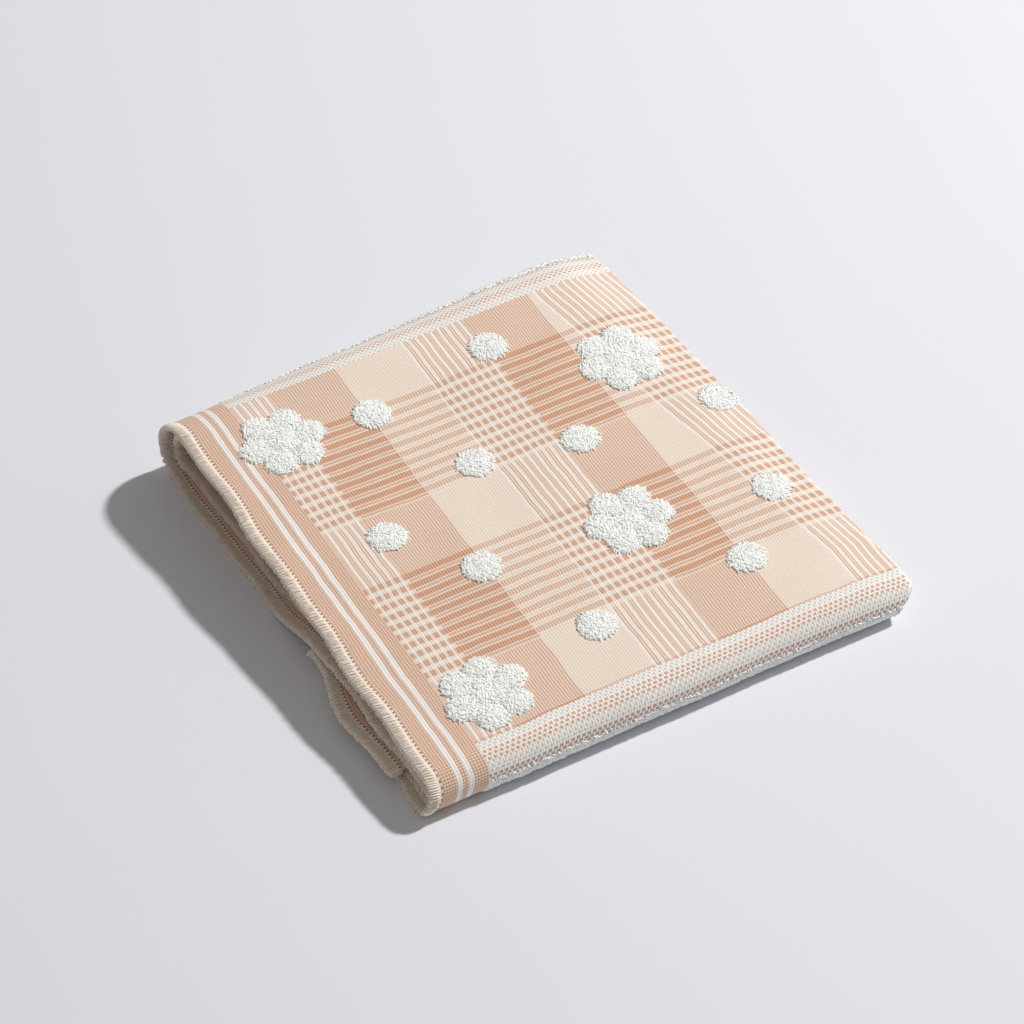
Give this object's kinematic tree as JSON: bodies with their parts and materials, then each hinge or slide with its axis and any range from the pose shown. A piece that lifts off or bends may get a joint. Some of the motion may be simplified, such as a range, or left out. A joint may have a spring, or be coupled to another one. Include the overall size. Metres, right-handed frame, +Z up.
{
  "type": "waffle check hand towel",
  "caption": "Cotton hand towel in a fine check with white terry flowers and dots, folded lengthwise and then to and fro into a near-square packet with a rounded front fold.",
  "frame": {"origin": "under the middle of the folded packet, on the surface that it lies on", "axes": "X runs across the packet from the open hems at -X to the long fold at +X; Y runs from the thick front fold at -Y to the tall back wall at +Y; Z is up"},
  "size_m": [0.1782, 0.1966, 0.0278],
  "materials": {
    "towel_cotton": "woven cotton in cream and pale orange check with raised white terry loops, matt"
  },
  "bodies": {
    "root": {"towel": "towel_cotton"}
  },
  "joints": []
}
